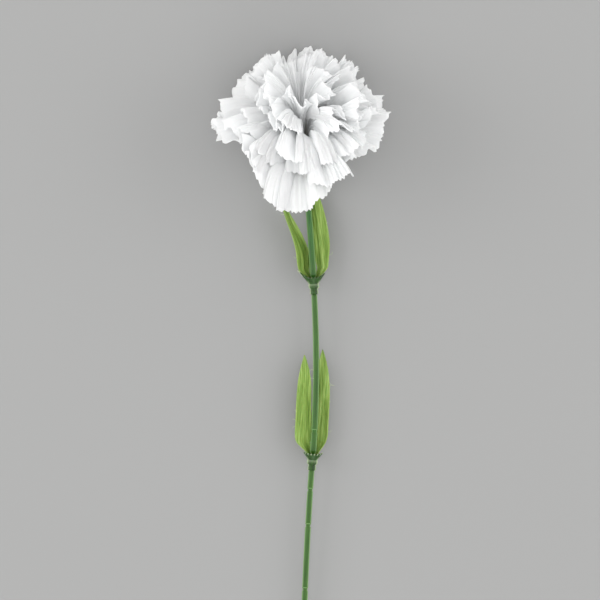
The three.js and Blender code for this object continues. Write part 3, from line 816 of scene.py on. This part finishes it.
def makeBeadTree():
    tree, given = newTree("stemBeads", {"Bead radius": "Float", "Bead section": "Float"})
    around, inSection = beadSizes["sides"]
    loop = addNode(tree, "GeometryNodeCurvePrimitiveCircle",
                   {"Resolution": around, "Radius": given["Bead radius"]})
    bead = swept(tree, loop.outputs[0], given["Bead section"], inSection)
    girth = named(tree, "girth")
    beads = onPoints(tree, given["Geometry"], bead, facing(tree, "tangent"),
                     joinVector(tree, girth, girth, beadSizes["tall"]))
    return closeTree(tree, beads, given["Material"])


def makeBeads():
    sizes = beadSizes
    at = ringsAt + sizes["above"]
    piece = makePointsPiece("stemBeads", onCurve(curvePoints, at), {
        "tangent": unit(onCurve(curveTangents, at)),
        "girth": stemRadius(at),
        "paintedHighlight": np.full(len(at), sizes["beadHighlight"]),
    })
    applyTree(piece, makeBeadTree(), {**sizes["tree"], "Material": stemPlastic})
    place(piece, stemPlastic, "stem")


makeBeads()
print("stem made")


# calyx

calyxSizes = {
    "top": -4.3,
    "foot": -21.3,
    "footRadius": 3.1,
    "body": [(3.3, 2), (4.7, 4.5), (5.9, 8.5), (6.3, 13)],  # radius and height above the foot
    "wall": 0.8,
    "wallRows": 8,
    "sepals": 5,
    "sepalSides": 24,
    "rise": 3.2,
    "flare": 1.1,
    "recess": 5.7,
    "recessDepth": 0.6,
    "pin": 1.3,
    "pinDepth": 7.3,
    "socket": 8,
    "socketRadius": 1.63,
    "ribs": 4,  # to a sepal
    "ribHeight": 0.12,
}


def makeCalyx():
    sizes = calyxSizes
    top, foot, recess = sizes["top"], sizes["foot"], sizes["recess"]
    rim, outerWall = top + sizes["recessDepth"], recess + sizes["wall"]
    socketTop = foot + sizes["socket"]
    body = rounded([(0, socketTop), (sizes["socketRadius"], socketTop), (sizes["socketRadius"], foot),
                    (sizes["footRadius"], foot), *((r, foot + z) for r, z in sizes["body"]),
                    (outerWall, rim)], 1.2, 5)[:-1]
    rows = np.linspace(0, 1, sizes["wallRows"])[1:]
    outer = [(outerWall, rim + 0.001 + f) for f in rows]
    inner = [(recess, rim + 0.001 + f) for f in rows[::-1]]
    pinEnd = top - sizes["pinDepth"]
    profile = [*body, (outerWall, rim), *outer, *inner, (recess, rim), (recess, top),
               (sizes["pin"], top), (sizes["pin"], pinEnd), (0, pinEnd)]
    grid = turned(profile, sizes["sepals"] * sizes["sepalSides"])
    x, y, z = (grid[..., k] for k in range(3))
    inSepal = np.arctan2(y, x) * sizes["sepals"]
    point = 1 - np.abs(((inSepal / fullTurn + sizes["sepals"]) % 1) * 2 - 1)
    above = np.clip(z - rim, 0, 1) * (z > rim)
    reach = np.hypot(x, y)
    isSide = (reach > sizes["footRadius"] + 0.1) & (z < rim + 0.01) & (z > foot + 1)
    swell = 1 + sizes["flare"] * point * above / np.maximum(reach, 1)
    ribs = 1 + isSide * sizes["ribHeight"] * np.cos(inSepal * sizes["ribs"]) / np.maximum(reach, 1)
    raised = np.where(above > 0, rim + sizes["rise"] * point * above, z)
    grid = np.stack([x * swell * ribs, y * swell * ribs, raised], -1)
    place(makeTurnedPiece("calyxCup", inBloomFrame(grid)), stemPlastic, "calyx")


makeCalyx()
print("calyx made")


# collars

collarSizes = {
    "sleeveRadius": 2.05,
    "sleeveBand": (1.8, 2),  # where the wider band at the sleeve's foot ends
    "sleeveStep": 0.1,
    "ledgeRadius": 2.6,
    "ledgeBottom": -1.6,
    "ledgeSlope": 0.4,
    "floor": 1,
    "floorRadius": 2.7,
    "rim": 2.9,
    "radius": 4.1,
    "mouth": 3.5,
    "rimBand": (0.6, 0.38, 0.3),  # how far down the band at the rim ends, and how far in on its two sides
    "bore": 1.55,
    "tooth": 0.55,
    "teeth": 16,
    "pointHalf": 76,  # degrees that a point sweeps down to the rim on either side
    "pointRise": ((0.7, 0.9), (4.6, 2.4)),  # left and right of each collar
    "pointFlare": 0.8,
    "sides": 128,
    # painted highlights, as how pale they make the plastic: the rim's teeth on each collar, the ledge's
    # edges, the sides at the seams
    "toothHighlight": (0.85, 0.15),
    "ledgeHighlight": (0.2, 0.04),
    "sideHighlight": 0.7,
    "tipHighlightFrom": 3.0,
    "tipHighlightOver": 1.2,
}


def collarProfile():
    sizes = collarSizes
    bore, sleeve, ledgeRadius = sizes["bore"], sizes["sleeveRadius"], sizes["ledgeRadius"]
    bottom, ledge, rim = sleeveBottom, sizes["ledgeBottom"], sizes["rim"]
    bandTop, bandEnd = sizes["sleeveBand"]
    down, outerIn, innerIn = sizes["rimBand"]
    neck = sleeve - sizes["sleeveStep"]
    outside = rounded([(bore, bottom), (sleeve, bottom), (sleeve, bottom + bandTop),
                       (neck, bottom + bandEnd), (neck, ledge - sizes["ledgeSlope"]),
                       (ledgeRadius, ledge), (ledgeRadius, 0), (ledgeRadius - 0.2, 0.2),
                       (sizes["radius"], rim)], 0.3, 3)
    return [*outside[:-1], (sizes["radius"] - outerIn, rim - down), outside[-1], (sizes["mouth"], rim),
            (sizes["mouth"] - innerIn, rim - down), (sizes["floorRadius"], sizes["floor"] + 0.3),
            (bore, sizes["floor"]), (bore, bottom)]


def makeCollar(index, level):
    sizes = collarSizes
    grid = turned(collarProfile(), sizes["sides"])
    x, y, z = (grid[..., k] for k in range(3))
    reach = np.hypot(x, y)
    fromPoint = np.abs(np.arctan2(y, np.abs(x))) / math.radians(sizes["pointHalf"])
    pointRise = np.where(x < 0, *sizes["pointRise"][index])
    saw = 1 - np.abs((np.arctan2(y, x) * sizes["teeth"] / fullTurn) % 1 * 2 - 1)
    isRim = z > sizes["rim"] - 0.01
    rise = (pointRise * np.maximum(0, 1 - fromPoint) ** 2 + sizes["tooth"] * saw) * isRim
    leaning = 1 + sizes["pointFlare"] * rise / reach
    # Painted highlights on the rim's teeth and point tips, the ledge's edges and the sleeve's sides.
    topEdge, bottomEdge = sizes["ledgeHighlight"]
    onTeeth = sizes["toothHighlight"][index] * smooth(2 * saw - 0.9)
    onTips = smooth((rise - sizes["tipHighlightFrom"]) / sizes["tipHighlightOver"])
    onLedge = topEdge * (np.abs(z) < 0.25) + bottomEdge * (np.abs(z - sizes["ledgeBottom"]) < 0.2)
    onSideHighlight = sizes["sideHighlight"] * sideHighlightMask(x, y) * (z < 0.3)
    isOutside = reach > sizes["bore"] + 0.1
    paintedHighlight = np.clip(isRim * (onTeeth + onTips) + (onLedge + onSideHighlight) * isOutside, 0, 1)
    grid = alongStem(np.stack([x * leaning, y * leaning, z + rise], -1), collarsAt[index])
    piece = makeTurnedPiece(level + "CollarCup", grid, {"paintedHighlight": paintedHighlight.ravel()})
    place(piece, collarPlastic, level + "_collar")


for index, level in levels:
    makeCollar(index, level)
print("collars made")


# leaves

leafSizes = {
    "foot": 1.3,
    "hubRadius": 2.35,
    "hubHeight": 0.8,
    "hubHole": 1.55,
    "hubSides": 40,
    "rootRadius": 2.05,
    "rootTurn": 50,
    "rootWidth": 3.6,
    "curlRadius": 7,
    "curlOver": 0.12,
    "clear": 2.25,
    "clearOver": 0.1,
    "standsOffOver": 0.16,  # the share of its length over which a blade leaves the stem
    "upperFrom": 0.3,  # where its upper course starts
    "widensFrom": 0.03,
    "taperFrom": 0.4,
    "taper": 2.6,
    "tipHalf": 0.08,
    "foldFrom": 0.05,  # how far from the blade's middle the fold lies, as a share of its half width
    "foldOver": 0.5,
    "foldDepth": 0.7,
    "foldEnds": (0.12, 0.45, 0.5),  # full from the first share, less from the second, over the third
    "wrap": 0.35,  # how much wider a blade is on the stem's side low down, where it wraps round it
    "wrapEnds": (0.08, 0.1, 0.4),
    "rows": 240,
    "columns": 44,
    "tree": {"Vein pitch": 0.55, "Vein height": 0.07, "Fray": 0.45, "Seed": 11},
    "cloth": 0.32,
    # off and below say how far a blade's middle lies beside and under the stem's, low and high up
    "lower": [
        dict(side=-1, length=50, width=8.4, wide=0.2, off=(5.6, 5.6), below=(0.8, -0.6), turn=(8, 6)),
        dict(side=1, length=52.5, width=8.6, wide=0.2, off=(2.6, 3.2), below=(3.4, 2.2), turn=(-4, 6)),
    ],
    "upper": [
        dict(side=-1, length=42, width=8.4, wide=0.25, off=(5, 12.4), below=(0.6, -3.5), turn=(36, 62)),
        dict(side=1, length=46, width=9, wide=0.42, off=(5.2, 4), below=(1.6, 0.5), turn=(-10, -22)),
    ],
}


# In full once s is past the first share, then down to nothing from the second one on.
def lowDown(s, full, less, over):
    return smooth(s / full) * (1 - smooth((s - less) / over))


def bladeGrid(side, length, width, wide, off, below, turn):
    sizes = leafSizes
    s = np.linspace(0, 1, sizes["rows"])[:, None]
    t = np.linspace(-1, 1, sizes["columns"] + 1)[None, :]
    away = smooth(s / sizes["standsOffOver"])
    upper = smooth((s - sizes["upperFrom"]) / (1 - sizes["upperFrom"]))
    widening = mix(sizes["rootWidth"] / 2, width / 2, smooth((s - sizes["widensFrom"]) / wide))
    pastTaper = np.maximum(0, (s - sizes["taperFrom"]) / (1 - sizes["taperFrom"]))
    half = widening * (1 - pastTaper ** sizes["taper"]) + sizes["tipHalf"]
    half = half * (1 + sizes["wrap"] * (side * t < 0) * lowDown(s, *sizes["wrapEnds"]))
    root = -side * math.radians(sizes["rootTurn"])
    x = mix(-sizes["rootRadius"] * math.sin(root), side * mix(*off, upper), away)
    y = mix(sizes["rootRadius"] * math.cos(root), mix(*below, upper), away)
    angle = mix(root, np.radians(mix(*turn, upper)), away)
    curl = mix(1 / sizes["rootRadius"], 1 / sizes["curlRadius"], smooth(s / sizes["curlOver"]))
    across = np.sin(curl * half * t) / curl
    depth = (1 - np.cos(curl * half * t)) / curl
    # The side next to the stem folds away from the viewer, more so low down.
    folded = smooth((-side * t - sizes["foldFrom"]) / sizes["foldOver"]) * lowDown(s, *sizes["foldEnds"])
    drop = depth - sizes["foldDepth"] * folded * half / 4
    px = x + across * np.cos(angle) + drop * np.sin(angle)
    py = y + across * np.sin(angle) - drop * np.cos(angle)
    pz = sizes["foot"] + 0.2 + length * s + 0 * t
    # The blade passes round the stem and never through it.
    clear = mix(sizes["rootRadius"] - 0.1, sizes["clear"], smooth(s / sizes["clearOver"]))
    distance = np.hypot(px, py)
    eased = (distance ** 8 + clear ** 8) ** 0.125 / distance
    grid = np.stack([px * eased, py * eased, pz], -1)
    # The fold also goes to the finish, which paints shade where the blade folds away.
    return grid, {"acrossMm": half * t, "alongMm": length * s + 0 * t, "edge": np.abs(t) + 0 * s,
                  "foldShade": folded}


def makeLeafTree():
    tree, given = newTree("leafFinish", {
        "Vein pitch": "Float", "Vein height": "Float", "Fray": "Float", "Seed": "Int"})
    across, along = named(tree, "acrossMm"), named(tree, "alongMm")
    number = plus(tree, named(tree, "petalNumber"), given["Seed"])
    lane = calculate(tree, "DIVIDE", across, given["Vein pitch"])
    grooveSpot = joinVector(tree, lane, times(tree, along, 0.045), number)
    groove = plus(tree, noiseOn(tree, grooveSpot, 1.0, 3.0), -0.5)
    swell = times(tree, groove, times(tree, given["Vein height"], 4 * mm))
    normal = addNode(tree, "GeometryNodeInputNormal").outputs[0]
    grooved = shifted(tree, given["Geometry"], normal, swell)
    fraySpot = joinVector(tree, times(tree, along, 2.2), number, calculate(tree, "SIGN", across))
    nibble = plus(tree, noiseOn(tree, fraySpot, 1.0, 4.0, 0.7), -0.5)
    reach = times(tree, nibble, times(tree, given["Fray"], 4 * mm))
    isEdge = calculate(tree, "GREATER_THAN", named(tree, "edge"), 0.97)
    frayed = shifted(tree, grooved, named(tree, "outward", "FLOAT_VECTOR"), reach, isEdge)
    return closeTree(tree, frayed, given["Material"])


leafTree = makeLeafTree()


def makeLeafPair(index, level):
    sizes = leafSizes
    blocks = []
    for k, shape in enumerate(sizes[level]):
        grid, values = bladeGrid(**shape)
        grid = alongStem(grid, collarsAt[index])
        outward = unit(np.gradient(grid, axis=1)) * np.sign(values["acrossMm"] + 1e-9)[..., None]
        number = np.full(grid.shape[:2], 7.0 * (2 * index + k))
        blocks.append((grid, {**values, "petalNumber": number, "outward": outward}))
    pair = makeClothPiece(level + "Leaves", blocks)
    applyTree(pair, leafTree, {**sizes["tree"], "Material": leafCloth}, sizes["cloth"])
    place(pair, leafCloth, level + "_leaf_pair")
    hole, outside, foot = sizes["hubHole"], sizes["hubRadius"], sizes["foot"]
    top = foot + sizes["hubHeight"]
    profile = rounded([(hole, foot), (outside, foot), (outside, top), (hole, top)], 0.2, 2)
    profile.append((hole, foot))
    ring = alongStem(turned(profile, sizes["hubSides"]), collarsAt[index])
    place(makeTurnedPiece(level + "LeavesRing", ring), leafCloth, level + "_leaf_pair")


# Loose threads that have come out of the leaves' cut edges.
threadSizes = {
    "each": (6, 3),  # on each leaf of the lower and of the upper pair
    "tree": {"Reach": 3.6 * mm, "Thread radius": 0.065 * mm, "Bow": 1.3 * mm},
    "shortest": 0.3,  # as a share of the reach
    "bowAt": 0.6,
    "tilt": 0.5,
    "along": (0.2, 0.78),  # where they start on a leaf, and over how much of it
    "rootedAt": 0.8,
    "sides": 6,
    "steps": 8,
    "seed": 8,
}


def makeThreadTree():
    sizes = threadSizes
    tree, given = newTree("looseThreads", {
        "Reach": "Float", "Thread radius": "Float", "Bow": "Float", "Seed": "Int"})
    strand = addNode(tree, "GeometryNodeCurveQuadraticBezier", {
        "Resolution": sizes["steps"],
        "Start": (0, 0, 0),
        "Middle": joinVector(tree, given["Bow"], 0.0, times(tree, given["Reach"], sizes["bowAt"])),
        "End": joinVector(tree, 0.0, 0.0, given["Reach"]),
    })
    thread = swept(tree, strand.outputs[0], given["Thread radius"], sizes["sides"], capped=True)
    share = addNode(tree, "FunctionNodeRandomValue", {
        2: sizes["shortest"], 3: 1.0, "Seed": given["Seed"]}, data_type="FLOAT")
    most = (sizes["tilt"], sizes["tilt"], 3.1)
    tilt = addNode(tree, "FunctionNodeRandomValue", {
        0: tuple(-m for m in most), 1: most, "Seed": given["Seed"]}, data_type="FLOAT_VECTOR")
    turnedBy = addNode(tree, "FunctionNodeRotateRotation", {
        "Rotation": facing(tree, "outward"), "Rotate By": tilt.outputs[0]}, rotation_space="LOCAL")
    threads = onPoints(tree, given["Geometry"], thread, turnedBy.outputs[0],
                       joinVector(tree, 1.0, 1.0, share.outputs[1]))
    return closeTree(tree, threads, given["Material"])


threadTree = makeThreadTree()


def makeThreads(index, level):
    sizes = threadSizes
    start, over = sizes["along"]
    roots, outward = [], []
    for k, shape in enumerate(leafSizes[level]):
        grid = alongStem(bladeGrid(**shape)[0], collarsAt[index])
        for j in range(sizes["each"][index]):
            row = int(leafSizes["rows"] * (start + over * ownNumber(index, k, 20 + j)))
            isRight = ownNumber(index, k, 40 + j) > 0.5
            inner, edge = (grid[row, -3], grid[row, -1]) if isRight else (grid[row, 2], grid[row, 0])
            roots.append(mix(inner, edge, sizes["rootedAt"]))
            outward.append(unit(edge - inner))
    piece = makePointsPiece(level + "Threads", np.array(roots), {"outward": np.array(outward)})
    seed = sizes["seed"] + index
    applyTree(piece, threadTree, {**sizes["tree"], "Seed": seed, "Material": threadCloth})
    place(piece, threadCloth, level + "_leaf_pair")


for index, level in levels:
    makeLeafPair(index, level)
for index, level in levels:
    makeThreads(index, level)
print("leaves made")


# pin and wire keep their solids

for node, finish in (("petal_pin", pinPlastic), ("wire_core", wireSteel)):
    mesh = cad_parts[node].data
    mesh.materials.clear()
    mesh.materials.append(finish)


# floor, light and camera

studio = {
    "floor": (0.32, 0.32, 0.317),
    "floorReach": 14,
    "sky": 0.98,
    # name, power, size and place of each soft light
    "lights": [("keyLight", 6.5, 0.9, (-1.2, 0.3, 0.8)), ("fillLight", 5.5, 1.1, (1.2, 0.2, 0.8)),
               ("frontLight", 4.0, 1.0, (0.1, -1.3, 0.7)), ("topLight", 4.0, 0.7, (0.0, 0.16, 2.2))],
    "lookAt": (-0.5 * mm, 137.9 * mm, 0.03),
    "distance": 3.0,
    "viewWidth": 0.29,
    "sensor": 36,
}


def makeFloor():
    reach = studio["floorReach"]
    mesh = bpy.data.meshes.new("floor")
    corners = [(-reach, -reach, 0), (reach, -reach, 0), (reach, reach, 0), (-reach, reach, 0)]
    mesh.from_pydata(corners, [], [(0, 1, 2, 3)])
    finish, _ = newFinish("paleFloor")
    mesh.materials.append(finished(finish, {"shader": {"Roughness": 0.9}}, (*studio["floor"], 1)))
    floor = addToScene("floor", mesh)


def lightTheStudio():
    world = bpy.data.worlds.new("studio")
    world.use_nodes = True
    background = world.node_tree.nodes["Background"]
    feed(world.node_tree, background, {"Color": (1, 1, 1, 1), "Strength": studio["sky"]})
    bpy.context.scene.world = world
    for name, power, size, spot in studio["lights"]:
        lamp = bpy.data.lights.new(name, "AREA")
        lamp.energy = power
        lamp.size = size
        holder = addToScene(name, lamp)
        holder.location = spot
        towards = Vector(studio["lookAt"]) - Vector(spot)
        holder.rotation_euler = towards.to_track_quat("-Z", "Y").to_euler()
        holder.visible_camera = False


def makeCamera():
    x, y, z = studio["lookAt"]
    camera = bpy.data.cameras.new("camera")
    camera.sensor_width = studio["sensor"]
    camera.lens = studio["sensor"] * (studio["distance"] - z) / studio["viewWidth"]
    holder = addToScene("camera", camera)
    holder.location = (x, y, studio["distance"])
    bpy.context.scene.camera = holder


makeFloor()
lightTheStudio()
makeCamera()
bpy.context.scene.view_settings.view_transform = "Standard"
print("studio made")
